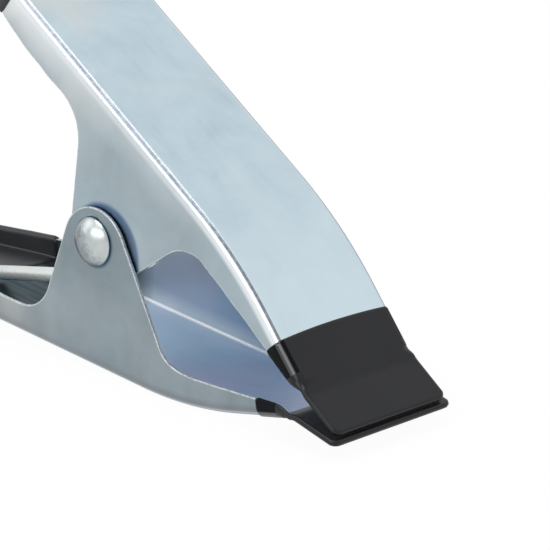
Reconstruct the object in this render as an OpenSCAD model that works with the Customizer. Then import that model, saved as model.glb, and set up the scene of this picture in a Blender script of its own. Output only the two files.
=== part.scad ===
// Spring clamp: two pressed steel arms on one rivet, a torsion spring inside,
// and soft dipped coats on the jaws and handles. Millimetres, +Z up, the jaws
// point along +X and the rivet runs along Y. The clamp lies on its lower arm.
//
// Each arm is drawn once in its own frame: u runs along the flat web towards
// the jaw, v from the pivot out to the web, and y across. "grow" is the
// thickness of a coat over the steel, and is 0 for the steel itself.

/* [Sheet] */
// Thickness of the steel sheet
sheet = 0.7; // [0.6:0.1:1.2]

/* [Arms] */
// Outside width of the upper arm, whose ears are the inner pair
upper_w = 29.4; // [24:0.2:36]
// Side gap between the ears of the two arms
ear_gap = 0.3; // [0.1:0.05:0.5]
// Distance from the pivot to the outside of each web
web_h = 25.5; // [23:0.5:30]
// Angle between the two webs while the jaws are shut
rest_angle = 28.4; // [24:0.2:32]
// Widest angle through which the upper arm turns to open the jaws
open_angle = 44; // [20:1:50]

/* [Jaws] */
// Distance ahead of the pivot at which each web starts to curve
jaw_start = 15; // [10:1:20]
// Outside radius of the web's curve towards the jaw
jaw_r = 88; // [70:2:110]
// Angle through which the web curves
jaw_bend = 17; // [16:0.5:20]
// Inside radius of the bend from the web into the flat lip
lip_r = 3; // [2:0.5:6]
// Where the lips' tips touch: distance from the pivot
touch_reach = 67.8; // [64:0.2:74]
// Where the lips' tips touch: how far below the line halfway between the arms
touch_drop = 1.1; // [0:0.1:1.5]
// Angle by which the upper lip leans towards that line, so that its tip touches first
upper_lean = 16; // [12:1:20]
// Angle by which the lower lip leans towards it
lower_lean = 5; // [3:0.5:8]
// How far the lower lip reaches past the upper one
lower_extra = 1.2; // [0.4:0.2:2]
// Rounding of the lips' corners, seen from above
lip_corner = 1.6; // [0.5:0.1:4]
// Gap at rest between the tip of the upper coated lip and the lower lip
lip_gap = 0.1; // [0.05:0.05:0.5]

/* [Handles] */
// Length of each handle behind the pivot
handle_len = 91; // [80:1:110]
// Distance behind the pivot at which the handle starts to flare
flare_start = 38; // [34:1:46]
// Outside radius of the flare's bend
flare_r = 60; // [30:5:120]
// Angle by which the handle flares outwards
flare = 9; // [5:0.5:12]
// Rounding of the handle's end, seen from above
handle_corner = 9; // [4:0.5:12]

/* [Side walls] */
// Rounding of the upper ears, and the distance of their rear edges from the pivot
upper_ear_r = 7.6; // [6.5:0.1:10]
// Distance of the upper ears' front edges from the pivot
upper_front_d = 9.6; // [7.6:0.1:10.4]
// Rounding of the lower ears, which are blunter
lower_ear_r = 8.8; // [7.6:0.1:9.6]
// Distance of the lower ears' rear edges from the pivot
lower_rear_d = 7.7; // [6.8:0.1:8.4]
// Distance of the lower ears' front edges from the pivot
lower_front_d = 8.2; // [7.4:0.1:8.8]
// Slope of the upper ears' rear edges away from upright
upper_ear_rear = 25; // [20:1:30]
// Slope of the lower ears' rear edges away from upright
lower_ear_rear = 17; // [15:1:24]
// Slope of the upper ears' front edges away from upright
upper_ear_front = 23; // [20:1:30]
// Slope of the lower ears' front edges away from upright
lower_ear_front = 33; // [28:1:35]
// Rounding ahead of the lower ears, where they meet the side walls' free edge
lower_front_fillet = 7; // [3:0.5:9]
// Rounding ahead of the upper ears
upper_front_fillet = 8; // [3:0.5:9]
// Rounding behind the lower ears
lower_rear_fillet = 8.5; // [6:0.5:11]
// Rounding behind the upper ears
upper_rear_fillet = 10; // [6:0.5:13]
// Depth of the upper handle's channel, outside
upper_handle_d = 7.8; // [6:0.2:9]
// Depth of the lower handle's channel, outside
lower_handle_d = 6; // [5:0.2:8]
// Depth of the channel where the upper jaw starts to curve
upper_jaw_d = 7.8; // [6:0.2:9]
// Depth of the channel where the lower jaw starts to curve
lower_jaw_d = 7; // [5:0.2:9]
// How far behind the web's bend into the lip the walls start to run out
flank_back = 4.1; // [3.6:0.1:8]
// Depth of both channels there, outside
flank_d = 2.6; // [1.8:0.1:3]
// Depth left of both channels at the end of the handle
end_d = 4.2; // [3:0.2:6]

/* [Rivet] */
// Radius of the rivet's shank
rivet_r = 3; // [2.5:0.1:3.2]
// Radius of the domed head on the near side
head_r = 4.9; // [4:0.1:6]
// Radius of the formed head on the far side
tail_r = 4.6; // [4:0.1:6]
// Height of both heads
head_h = 2.6; // [1.5:0.1:3.5]
// Radial play of the upper ears on the shank
run_fit = 0.05; // [0.01:0.01:0.1]
// Radial play of the lower ears on the shank
set_fit = 0.02; // [0.01:0.01:0.05]

/* [Spring] */
// Diameter of the spring wire
wire_d = 3; // [2:0.1:3.2]
// Mean radius of the coil
coil_r = 5; // [4.8:0.1:5.3]
// Whole turns of the coil, on top of the part turn between the legs
coil_turns = 5; // [3:1:5]
// Advance of the coil in one turn
coil_pitch = 3.75; // [3.7:0.05:3.9]
// Where a leg bends towards the handle: distance behind the pivot
knee_u = 6.5; // [5:0.5:9]
// Where a leg bends towards the handle: distance out from the pivot
knee_v = 10.5; // [9:0.5:13]
// Distance behind the pivot at which a leg ends
leg_len = 41.5; // [36:0.5:43]
// Sideways place of a leg's end, from the middle
leg_side = 2.4; // [0:0.2:6]
// Gap between a leg's end and the web it presses on
leg_gap = 0.2; // [0.1:0.05:0.3]

/* [Coats] */
// Thickness of the dipped coat on the jaws
cap_t = 0.25; // [0.2:0.05:0.6]
// Distance ahead of the pivot at which the upper jaw's coat starts
upper_cap_start = 45.4; // [43:0.2:50]
// Distance ahead of the pivot at which the lower jaw's coat starts
lower_cap_start = 46.6; // [43:0.2:50]
// Thickness of the dipped coat on the handles
grip_t = 0.5; // [0.3:0.05:0.8]
// Distance behind the pivot at which the handle coats start
grip_start = 43.5; // [42:0.5:55]

/* [Hidden] */
$fn = 96;

zinc = [0.70, 0.76, 0.79];
bright_steel = [0.82, 0.84, 0.86];
spring_steel = [0.62, 0.66, 0.70];
black_vinyl = [0.09, 0.09, 0.10];

// Widths: the upper ears run inside the lower ones.
lower_w = upper_w + 2 * (ear_gap + sheet);
clear = 150;    // reach of the cutting shapes past the steel
arc_detail = 120;    // larger means fewer facets on the rounded corners
flank_share = 0.35;  // where along the jaw the wall's free edge starts to rise
flank_drop = 0.2;    // how far it has dropped by then
run_out = 0.1;       // how far ahead of the lip's bend the wall has run out
flank_round = 30;    // rounding of the long, shallow corners of the free edge
flank_turn = 6;      // rounding of the corner at which the wall starts to run out

// Half the angle between the webs.
half_rest = rest_angle / 2;

// What differs between the lower arm (0) and the upper arm (1).
arm_w = [lower_w, upper_w];
handle_d = [lower_handle_d, upper_handle_d];
jaw_d = [lower_jaw_d, upper_jaw_d];
ear_r = [lower_ear_r, upper_ear_r];
rear_d = [lower_rear_d, upper_ear_r];
front_d = [lower_front_d, upper_front_d];
ear_rear = [lower_ear_rear, upper_ear_rear];
ear_front = [lower_ear_front, upper_ear_front];
rear_fillet = [lower_rear_fillet, upper_rear_fillet];
front_fillet = [lower_front_fillet, upper_front_fillet];
lean = [lower_lean, upper_lean];
extra = [lower_extra, 0];
drop = [-touch_drop, touch_drop];

// A lip's slope from its web, the distance of its coated inner face from the
// pivot, square to the face, and its steel end's distance along the lip.
function lip_slope(k) = half_rest - lean[k];
function lip_face(k) = touch_reach * sin(lean[k]) + (lip_gap / 2 - drop[k]) * cos(lean[k]);
function lip_reach(k) = touch_reach * cos(lean[k]) - (lip_gap / 2 - drop[k]) * sin(lean[k])
    + extra[k] - cap_t;

// The web's outer face: where the curve ends, and where the lip's face starts.
curve_end = [jaw_start + jaw_r * sin(jaw_bend), web_h - jaw_r * (1 - cos(jaw_bend))];
function lip_face_v(k) = (lip_face(k) + cap_t + sheet) / cos(lip_slope(k));
function slope_to_lip(k) = tan(jaw_bend) + tan(lip_slope(k));
function lip_corner_u(k) =
    (curve_end[1] + curve_end[0] * tan(jaw_bend) - lip_face_v(k)) / slope_to_lip(k);
// The corner of the free edge at which the walls start to run out.
flank_u = min(lip_corner_u(0), lip_corner_u(1)) - flank_back;
flank_v = curve_end[1] - (flank_u - curve_end[0]) * tan(jaw_bend) - flank_d;
// Where a side wall runs out, ahead of the inside of the bend into the lip.
function flank_end(k) = (lip_r + sheet) * tan((jaw_bend + lip_slope(k)) / 2) + run_out;

// The flare: centre of its bend, and where the straight handle starts.
flare_centre = [-flare_start, web_h + flare_r];
flare_end = flare_centre - flare_r * [sin(flare), cos(flare)];

// Height of the web's outer face over the handle, at a distance u.
function handle_v(u) = flare_end[1] + (flare_end[0] - u) * tan(flare);

// The handle's end is square to the flared handle.
handle_end = [-handle_len, handle_v(-handle_len)];
handle_along = [-cos(flare), sin(flare)];
handle_out = [sin(flare), cos(flare)];

// Lying on a level surface, the lower arm touches it with the coated end of
// its handle and with the curve of its jaw. "lie" is the web's tilt.
grip_low = handle_end + grip_t * (handle_along + handle_out);
grip_high = grip_low - (sheet + 2 * grip_t) * handle_out;
jaw_centre = [jaw_start, web_h - jaw_r];
to_grip = grip_low - jaw_centre;
lie = acos(jaw_r / norm(to_grip)) - atan2(-to_grip[0], to_grip[1]);

// From an arm's frame to the part's: the pivot's height, and both arms' turn.
pivot_z = jaw_r + jaw_centre[0] * sin(lie) + jaw_centre[1] * cos(lie);
function turned(p, a) = [p[0] * cos(a) + p[1] * sin(a), p[1] * cos(a) - p[0] * sin(a)];
function lower_x(p) = turned([p[0], -p[1]], lie)[0];
tip = turned([lip_reach(0) + cap_t, lip_face(0)], -lip_slope(0));
x_low = min(lower_x(grip_low), lower_x(grip_high));
x_high = lower_x(tip);
pivot_x = -(x_low + x_high) / 2;

echo(lie = lie, pivot_x = pivot_x, pivot_z = pivot_z, length = x_high - x_low);
echo(jaw_opening = 2 * norm(tip) * sin(open_angle / 2), lower_w = lower_w);

// ---- Outlines -------------------------------------------------------------

// A path is a list of corners [u, v, radius]; "rounded" turns it into points.
function flat(p) = [p[0], p[1]];
function unit(p) = p / norm(p);
function reversed(list) = [for (i = [len(list) - 1 : -1 : 0]) list[i]];
function cross2(p, q) = p[0] * q[1] - p[1] * q[0];

function rounded(path) = let (last = len(path) - 1)
    [for (i = [0 : last]) each (path[i][2] == 0 || i == 0 || i == last ? [flat(path[i])] :
        corner_arc(flat(path[i - 1]), flat(path[i]), flat(path[i + 1]), path[i][2]))];

// The arc of radius r that rounds corner b between a and c.
function corner_arc(a, b, c, r) =
    let (ab = unit(a - b), cb = unit(c - b), mid = unit(ab + cb), half = acos(ab * cb) / 2)
    let (from = atan2(-mid[1], -mid[0]), side = cross2(ab, cb) > 0 ? -1 : 1)
    let (steps = max(2, ceil((90 - half) * r / arc_detail)))
    [for (k = [-steps : steps]) let (t = from + side * k / steps * (90 - half))
        b + mid * r / sin(half) + r * [cos(t), sin(t)]];

// The path moved sideways by d, to the left of its own direction.
function moved(path, d) = let (last = len(path) - 1)
    [for (i = [0 : last])
        let (b = flat(path[i]))
        let (along = unit(i < last ? flat(path[i + 1]) - b : b - flat(path[i - 1])))
        let (before = i > 0 ? unit(b - flat(path[i - 1])) : along)
        let (n = [-before[1], before[0]], m = [-along[1], along[0]], q = b + d * (n + m) / (1 + n * m))
        let (r = path[i][2], turn = cross2(before, along) > 0 ? -1 : 1)
        [q[0], q[1], r == 0 ? 0 : r + turn * d]];

// Where a line with normal n at distance d from the pivot reaches height v.
function edge_u(n, d, v) = (d - n[1] * v) / n[0];
// Where two such lines cross.
function crossing(n, d, m, e) =
    let (det = cross2(n, m)) [(d * m[1] - n[1] * e) / det, (n[0] * e - d * m[0]) / det];

// The outer face of the web, from past the handle's end to past the lip's.
function web_path(k) = [
    [-handle_len - clear, handle_v(-handle_len - clear), 0],
    [-flare_start - flare_r * tan(flare / 2), web_h, flare_r],
    [jaw_start + jaw_r * tan(jaw_bend / 2), web_h, jaw_r],
    [lip_corner_u(k), lip_face_v(k) + lip_corner_u(k) * tan(lip_slope(k)), lip_r],
    [lip_corner_u(k) + clear, lip_face_v(k) + (lip_corner_u(k) + clear) * tan(lip_slope(k)), 0],
];
function inner_path(k) = moved(web_path(k), -sheet);

// The side walls' free edge with its ear; it ends along the lip's inner face.
function edge_path(k) =
    let (inner = inner_path(k), handle_v0 = web_h - handle_d[k], jaw_v0 = web_h - jaw_d[k])
    let (rear = [-cos(ear_rear[k]), -sin(ear_rear[k])])
    let (front = [cos(ear_front[k]), -sin(ear_front[k])])
    let (apex = crossing(rear, rear_d[k], front, front_d[k]), lip_in = inner[3])
    [
        [-handle_len - clear, handle_v(-handle_len - clear) - end_d, 0],
        [-handle_len, handle_v(-handle_len) - end_d, 0],
        [-flare_start, handle_v0, flank_round],
        [edge_u(rear, rear_d[k], handle_v0), handle_v0, rear_fillet[k]],
        [apex[0], apex[1], ear_r[k]],
        [edge_u(front, front_d[k], jaw_v0), jaw_v0, front_fillet[k]],
        [jaw_start + flank_share * (lip_corner_u(k) - jaw_start), jaw_v0 - flank_drop, flank_round],
        [flank_u, flank_v, flank_turn],
        [lip_in[0] - flank_end(k) * cos(jaw_bend), lip_in[1] + flank_end(k) * sin(jaw_bend), 0],
        lip_in,
        inner[4],
    ];

// A bar across both ways, as wide as the arm, rounded at its one end.
module rounded_bar(w, reach, corner, grow) {
    half = w / 2 + grow;
    far = reach + grow;
    translate([0, 0, -clear]) linear_extrude(2 * clear) polygon(rounded([
        [-2 * clear, -half, 0],
        [far, -half, corner + grow],
        [far, half, corner + grow],
        [-2 * clear, half, 0],
    ]));
}

// A slice of width w across the arm, of an outline drawn in u and v.
module across(w) {
    rotate([90, 0, 0]) linear_extrude(w, center = true) children();
}

// The whole channel grown by a coat: a block cut out from the inside.
module arm_body(k, grow = 0) {
    pocket = moved(inner_path(k), -grow);
    w = arm_w[k];
    intersection() {
        difference() {
            across(w + 2 * grow) polygon(concat(rounded(moved(web_path(k), grow)),
                reversed(rounded(moved(edge_path(k), -grow)))));
            across(w - 2 * (sheet + grow)) polygon(concat(
                rounded([for (i = [0 : 3]) [each flat(pocket[i]), pocket[i][2]]]),
                [[pocket[3][0], -clear], [-handle_len - clear, -clear]]));
        }
        rotate([0, -lip_slope(k), 0]) rounded_bar(w, lip_reach(k), lip_corner, grow);
        rotate([0, -flare, 180]) rounded_bar(w, handle_end * handle_along, handle_corner, grow);
    }
}

module pivot_bore(r) {
    rotate([90, 0, 0]) cylinder(h = 2 * clear, r = r, center = true);
}

module lower_steel(grow = 0) { arm_body(0, grow); }
module upper_steel(grow = 0) { arm_body(1, grow); }

// A slab that keeps only what lies past u.
module past(u, ahead) {
    translate([ahead ? u : u - 4 * clear, -clear, -2 * clear])
        cube([4 * clear, 2 * clear, 4 * clear]);
}

// ---- Places ---------------------------------------------------------------

module at_pivot() { translate([pivot_x, 0, pivot_z]) children(); }
module lower_place() { at_pivot() rotate([0, lie, 0]) mirror([0, 0, 1]) children(); }
module upper_place() { at_pivot() rotate([0, lie + rest_angle, 0]) children(); }

// ---- Sub-parts ------------------------------------------------------------

module lower_arm() {
    color(zinc) lower_place() difference() {
        lower_steel();
        pivot_bore(rivet_r + set_fit);
    }
}

module upper_arm() {
    color(zinc) upper_place() difference() {
        upper_steel();
        pivot_bore(rivet_r + run_fit);
    }
}

// Rivet: domed head on the near side, formed head on the far side.
module dome(r, h) {
    ball = (r * r + h * h) / (2 * h);
    rotate_extrude() intersection() {
        translate([0, h - ball]) circle(ball);
        square([r, h]);
    }
}

module rivet() {
    color(bright_steel) at_pivot() {
        rotate([90, 0, 0]) cylinder(h = lower_w, r = rivet_r, center = true);
        translate([0, -lower_w / 2, 0]) rotate([90, 0, 0]) dome(head_r, head_h);
        translate([0, lower_w / 2, 0]) rotate([-90, 0, 0]) dome(tail_r, head_h);
    }
}

// Torsion spring: one unbroken wire from the lower leg's end through the coil
// to the upper leg's end. Points are in the plane halfway between the arms.
wire_sides = 6;
coil_rings = 8;
knee = [-knee_u, knee_v];
leg_lean = acos(coil_r / norm(knee)) - atan2(knee_u, knee_v);
leg_end = [-leg_len, web_h - sheet - wire_d / 2 - leg_gap];
coil_from = leg_lean + half_rest - 90;
coil_to = -coil_from + 360 * coil_turns;
coil_half = coil_pitch * (coil_to - coil_from) / 720;

// An arm's point (u, v) seen from halfway between the arms, on side s.
function halfway(p, s) = [p[0] * cos(half_rest) + p[1] * sin(half_rest),
                          s * (p[1] * cos(half_rest) - p[0] * sin(half_rest))];
function leg_point(p, y, s) = let (q = halfway(p, s)) [q[0], -s * y, q[1]];

coil_steps = round(coil_rings * (coil_to - coil_from) / 360);
coil_path = [for (i = [0 : coil_steps])
    let (a = coil_from + (coil_to - coil_from) * i / coil_steps)
    [coil_r * cos(a), -coil_half + 2 * coil_half * i / coil_steps, coil_r * sin(a)]];

// A leg from its end to the knee: s is -1 for the lower leg, 1 for the upper.
knee_bend = 3;
function leg(s) = let (far = (leg_end - knee) / norm(leg_end - knee))
    let (near = coil_r * [sin(leg_lean), cos(leg_lean)] - knee)
    [leg_point(leg_end, -leg_side, s),
     leg_point(knee + (leg_end - knee) / 2, -(leg_side + coil_half) / 2, s),
     leg_point(knee + far * knee_bend, -coil_half, s),
     leg_point(knee + near / norm(near) * knee_bend, -coil_half, s)];

wire_path = concat(leg(-1), coil_path, reversed(leg(1)));

module torsion_spring() {
    n = len(wire_path);
    dirs = [for (i = [0 : n - 1])
        unit(wire_path[min(i + 1, n - 1)] - wire_path[max(i - 1, 0)])];
    // Across the wire, one ring direction stays square to the coil's axis.
    outs = [for (d = dirs) unit(cross(d, [0, 1, 0]))];
    ring = [for (i = [0 : n - 1]) for (k = [0 : wire_sides - 1])
        let (a = 360 * k / wire_sides, side = cross(dirs[i], outs[i]))
        wire_path[i] + wire_d / 2 * (cos(a) * outs[i] + sin(a) * side)];
    walls = [for (i = [0 : n - 2]) for (k = [0 : wire_sides - 1])
        let (a = i * wire_sides + k, b = i * wire_sides + (k + 1) % wire_sides)
        each [[a, b + wire_sides, b], [a, a + wire_sides, b + wire_sides]]];
    last = (n - 1) * wire_sides;
    ends = [for (k = [1 : wire_sides - 2])
        each [[0, k, k + 1], [last, last + k + 1, last + k]]];
    color(spring_steel) at_pivot() rotate([0, lie + half_rest, 0])
        polyhedron(points = ring, faces = concat(walls, ends));
}

// Least gap between the wire's skin and itself, on points along its middle
// that are at least half a turn apart.
fine = [for (i = [0 : len(wire_path) - 2]) for (k = [0 : 3])
    wire_path[i] + (wire_path[i + 1] - wire_path[i]) * k / 4];
apart = 4 * coil_rings / 2;
gaps = [for (i = [0 : len(fine) - 1 - apart])
    min([for (j = [i + apart : len(fine) - 1]) norm(fine[i] - fine[j])]) - wire_d];
echo(least_gap_of_spring_to_itself = min(gaps));
echo(spring_reach_from_middle = coil_half + wire_d / 2, room = upper_w / 2 - sheet);

// Dipped coats: the steel grown by the coat, less the steel.
module jaw_cap(side) {
    difference() {
        intersection() {
            if (side < 0) lower_steel(cap_t);
            else upper_steel(cap_t);
            past(side < 0 ? lower_cap_start : upper_cap_start, true);
        }
        if (side < 0) lower_steel();
        else upper_steel();
    }
}

module grip(side) {
    difference() {
        intersection() {
            if (side < 0) lower_steel(grip_t);
            else upper_steel(grip_t);
            past(-grip_start, false);
        }
        if (side < 0) lower_steel();
        else upper_steel();
    }
}

module lower_jaw_cap() { color(black_vinyl) lower_place() jaw_cap(-1); }
module upper_jaw_cap() { color(black_vinyl) upper_place() jaw_cap(1); }
module lower_grip() { color(black_vinyl) lower_place() grip(-1); }
module upper_grip() { color(black_vinyl) upper_place() grip(1); }

lower_arm();
upper_arm();
rivet();
torsion_spring();
lower_jaw_cap();
upper_jaw_cap();
lower_grip();
upper_grip();
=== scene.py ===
"""Looks of the spring clamp: two zinc plated arms, rivet, spring and black dipped coats.

Metres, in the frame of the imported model. Each arm is drawn in its own frame: u runs along
the flat web towards the jaw, v from the pivot out to the web, and y across. Sheet pieces
are lofted: rows are stations along the web, columns run across it and down the side walls.
"""

import math
from types import SimpleNamespace

import bmesh
import bpy
import numpy as np
from mathutils import Matrix, Vector

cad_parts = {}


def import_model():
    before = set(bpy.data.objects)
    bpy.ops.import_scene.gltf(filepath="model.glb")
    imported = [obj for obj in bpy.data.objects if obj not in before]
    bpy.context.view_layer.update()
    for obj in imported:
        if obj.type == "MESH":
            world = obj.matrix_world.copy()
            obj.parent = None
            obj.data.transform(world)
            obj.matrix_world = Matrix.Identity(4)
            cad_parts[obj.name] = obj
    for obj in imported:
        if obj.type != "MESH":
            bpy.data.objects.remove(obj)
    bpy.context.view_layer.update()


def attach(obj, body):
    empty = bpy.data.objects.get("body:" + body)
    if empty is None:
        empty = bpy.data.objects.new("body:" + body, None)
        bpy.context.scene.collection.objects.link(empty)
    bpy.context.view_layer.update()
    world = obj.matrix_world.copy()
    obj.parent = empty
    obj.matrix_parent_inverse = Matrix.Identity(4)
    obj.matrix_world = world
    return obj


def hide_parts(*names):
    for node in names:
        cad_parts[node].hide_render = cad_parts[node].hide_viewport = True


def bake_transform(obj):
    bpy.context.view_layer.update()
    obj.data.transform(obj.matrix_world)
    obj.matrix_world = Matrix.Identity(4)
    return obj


MM = 0.001

# ---- Sizes of the source, in millimetres and degrees ------------------------

SHEET = 0.7
UPPER_W = 29.4
LOWER_W = 31.4
WEB_H = 25.5
REST = 28.4
JAW_START = 15.0
JAW_R = 88.0
JAW_BEND = 17.0
LIP_R = 3.0
UPPER_LEAN = 16.0
LOWER_LEAN = 5.0
LIP_GAP = 0.1
LIP_CORNER = 1.6
TOUCH_REACH = 67.8
TOUCH_DROP = 1.1
LOWER_EXTRA = 1.2
HANDLE_LEN = 91.0
FLARE_START = 38.0
FLARE_R = 60.0
FLARE = 9.0
HANDLE_CORNER = 9.0
FLANK_U = 51.49
FLANK_D = 2.6
FLANK_TURN = 6.0
FLANK_SHARE = 0.35
FLANK_DROP = 0.2
FLANK_ROUND = 30.0
RUN_OUT = 0.1
# A wall's depth over the handle and at the jaw; its ear's rounding; the slope and the
# distance from the pivot of the ear's rear edge and of its front edge; the two fillets.
LOWER_WALL = (6.0, 7.0, 8.8, (17.0, 7.7), (33.0, 8.2), 8.5, 7.0)
UPPER_WALL = (7.8, 7.8, 7.6, (25.0, 7.6), (23.0, 9.6), 10.0, 8.0)
END_D = 4.2
RIVET_R = 3.0
HEAD_R = 4.9
TAIL_R = 4.6
HEAD_H = 2.6
BORE_PLAY = 0.05
WIRE_R = 1.5
COIL_R = 5.0
COIL_HALF = 9.8
KNEE = (-6.5, 10.5)
LEG_LEN = 41.5
LEG_SIDE = 2.4
LEG_GAP = 0.2
KNEE_REACH = 3.4     # how far from its corner the knee's curve starts
CAP_T = 0.25
UPPER_CAP_START = 45.4
LOWER_CAP_START = 46.6
GRIP_T = 0.5
GRIP_START = 43.5
LIE = 4.28421
PIVOT = (14.3571, 26.7952)

HALF = REST / 2

# Looks only: what the pressed sheet has and the plain solids leave out.
FOLD_R = 1.2         # radius of the folds, at the middle of the sheet
FOLD_FIT = 0.9       # the most of a low wall's height that its fold's curve takes
FOLD_OPEN = 1.5      # a fold opens out where its wall plus FOLD_LEFT is lower than this
FOLD_LEFT = 0.05     # leaves a trace of fold where there is no wall
EDGE_ROUND = 0.16    # rounding of the sheared edges
WAVE = 0.12          # the free edges' slow wander sideways; a quicker one adds to it
FAR_RISE = 0.9       # how much higher the lower arm's far wall stands behind its ear
LIP_IN = 0.12        # how much narrower the lips are than the channels, on each side
BARE_U = 54.3        # the jaws are bare on the inside up to here
BAND_END = 52.0      # where the finish of the jaw coats' side walls ends
BARE_FADE = 1.5      # over this length the coat's inner face comes out of the sheet
CAP_SUNK = 0.7       # by what share it is sunk before that
CAP_ARCH = 0.6       # how much further back the jaw's coat starts at the middle
GRIP_ARCH = 0.5      # how much further back the handle's coat ends at the middle
COIL_TURNS = 6       # whole turns, side by side in the room of the source's coil

# How the sheets are divided: shares of the web, counts, and steps along the arm.
WEB_COLUMNS = (0, 0.14, 0.3, 0.46, 0.6, 0.72, 0.82, 0.9, 0.96)
FOLD_COLUMNS = 8
WALL_COLUMNS = 9
HEM = 0.35           # how far in from the free edge the next column lies
HEM_SHARE = 0.3      # but at most this share of the wall
CROWDING = 0.9       # below 1, a lip's columns crowd a little to its free edge
END_STEP = 0.3       # the first row and the last
ROW_STEP = 1.6
EAR_ZONE, EAR_STEP = (-20, 24), 0.42
LIP_ZONE, LIP_STEP = 44, 0.5
LEAST_STEP = 0.05
DEPTH_STEP = 0.1     # how closely the free edge's depth is read along the arm
WELD = 2e-7          # metres; points closer than this are one

rad = math.radians


def smooth(x):
    """0 below 0, 1 above 1, and an even rise between them."""
    x = np.clip(x, 0.0, 1.0)
    return x * x * (3.0 - 2.0 * x)


# ---- Paths ------------------------------------------------------------------


def rounded(corners, step=0.25):
    """Points of a path of corners (u, v, radius)."""
    points = [np.array(corners[0][:2], float)]
    for before, corner, after in zip(corners, corners[1:], corners[2:]):
        b = np.array(corner[:2], float)
        if corner[2] == 0:
            points.append(b)
            continue
        to_a = np.array(before[:2]) - b
        to_c = np.array(after[:2]) - b
        to_a /= np.linalg.norm(to_a)
        to_c /= np.linalg.norm(to_c)
        mid = (to_a + to_c) / np.linalg.norm(to_a + to_c)
        half = math.acos(np.clip(to_a @ to_c, -1, 1)) / 2
        reach = corner[2] / math.tan(half)
        centre = b + mid * corner[2] / math.sin(half)
        start = b + to_a * reach - centre
        end = b + to_c * reach - centre
        first = math.atan2(start[1], start[0])
        sweep = (math.atan2(end[1], end[0]) - first + math.pi) % (2 * math.pi) - math.pi
        count = max(3, int(abs(sweep) * corner[2] / step))
        for k in range(count + 1):
            a = first + sweep * k / count
            points.append(centre + corner[2] * np.array([math.cos(a), math.sin(a)]))
    points.append(np.array(corners[-1][:2], float))
    return np.array(points)


class Track:
    """A path that is read by its length: places, and directions that turn evenly."""

    def __init__(self, points):
        steps = np.diff(points, axis=0)
        long_enough = np.linalg.norm(steps, axis=1) > 1e-6
        points = np.vstack([points[:1], points[1:][long_enough]])
        steps = np.diff(points, axis=0)
        lengths = np.linalg.norm(steps, axis=1)
        self.s = np.concatenate([[0.0], np.cumsum(lengths)])
        self.points = points
        self.middles = (self.s[1:] + self.s[:-1]) / 2
        self.headings = np.arctan2(steps[:, 1], steps[:, 0])
        self.length = self.s[-1]

    def at(self, s):
        u = np.interp(s, self.s, self.points[:, 0])
        v = np.interp(s, self.s, self.points[:, 1])
        heading = np.interp(s, self.middles, self.headings)
        return u, v, heading

    def s_of_u(self, u):
        return float(np.interp(u, self.points[:, 0], self.s))


INNER_BACK = 0.05    # how far behind the outer corner of the lip's bend the inner one lies
PAST_END = 9.0       # the free edge is drawn this far past the handle's end,
PAST_LIP = 60.0      # and this far along the lip
NO_EDGE = 1e9        # the depth where no edge lies below the web


def web_track(lean, drop, extra):
    """The outer face of the web, from the handle's end to the lip's."""
    slope, bend, tilt = rad(HALF - lean), rad(JAW_BEND), rad(lean)
    lip_face = TOUCH_REACH * math.sin(tilt) + (LIP_GAP / 2 - drop) * math.cos(tilt)
    reach = TOUCH_REACH * math.cos(tilt) - (LIP_GAP / 2 - drop) * math.sin(tilt) + extra - CAP_T
    lip_v = (lip_face + CAP_T + SHEET) / math.cos(slope)
    curve_u = JAW_START + JAW_R * math.sin(bend)
    curve_v = WEB_H - JAW_R * (1 - math.cos(bend))
    corner_u = (curve_v + curve_u * math.tan(bend) - lip_v) / (math.tan(bend) + math.tan(slope))
    corner_v = lip_v + corner_u * math.tan(slope)
    flare_u = -FLARE_START - FLARE_R * math.sin(rad(FLARE))
    flare_v = WEB_H + FLARE_R - FLARE_R * math.cos(rad(FLARE))
    end_v = flare_v + (flare_u + HANDLE_LEN) * math.tan(rad(FLARE))
    depth = lip_face + CAP_T + SHEET
    tip = (reach * math.cos(slope) - depth * math.sin(slope),
           reach * math.sin(slope) + depth * math.cos(slope))
    track = Track(rounded([
        (-HANDLE_LEN, end_v, 0),
        (-FLARE_START - FLARE_R * math.tan(rad(FLARE) / 2), WEB_H, FLARE_R),
        (JAW_START + JAW_R * math.tan(bend / 2), WEB_H, JAW_R),
        (corner_u, corner_v, LIP_R),
        (tip[0], tip[1], 0),
    ]))
    track.corner_u = corner_u
    track.inner_corner = (corner_u - INNER_BACK, corner_v - SHEET)
    track.slope = slope
    track.end_v = end_v
    return track


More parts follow.
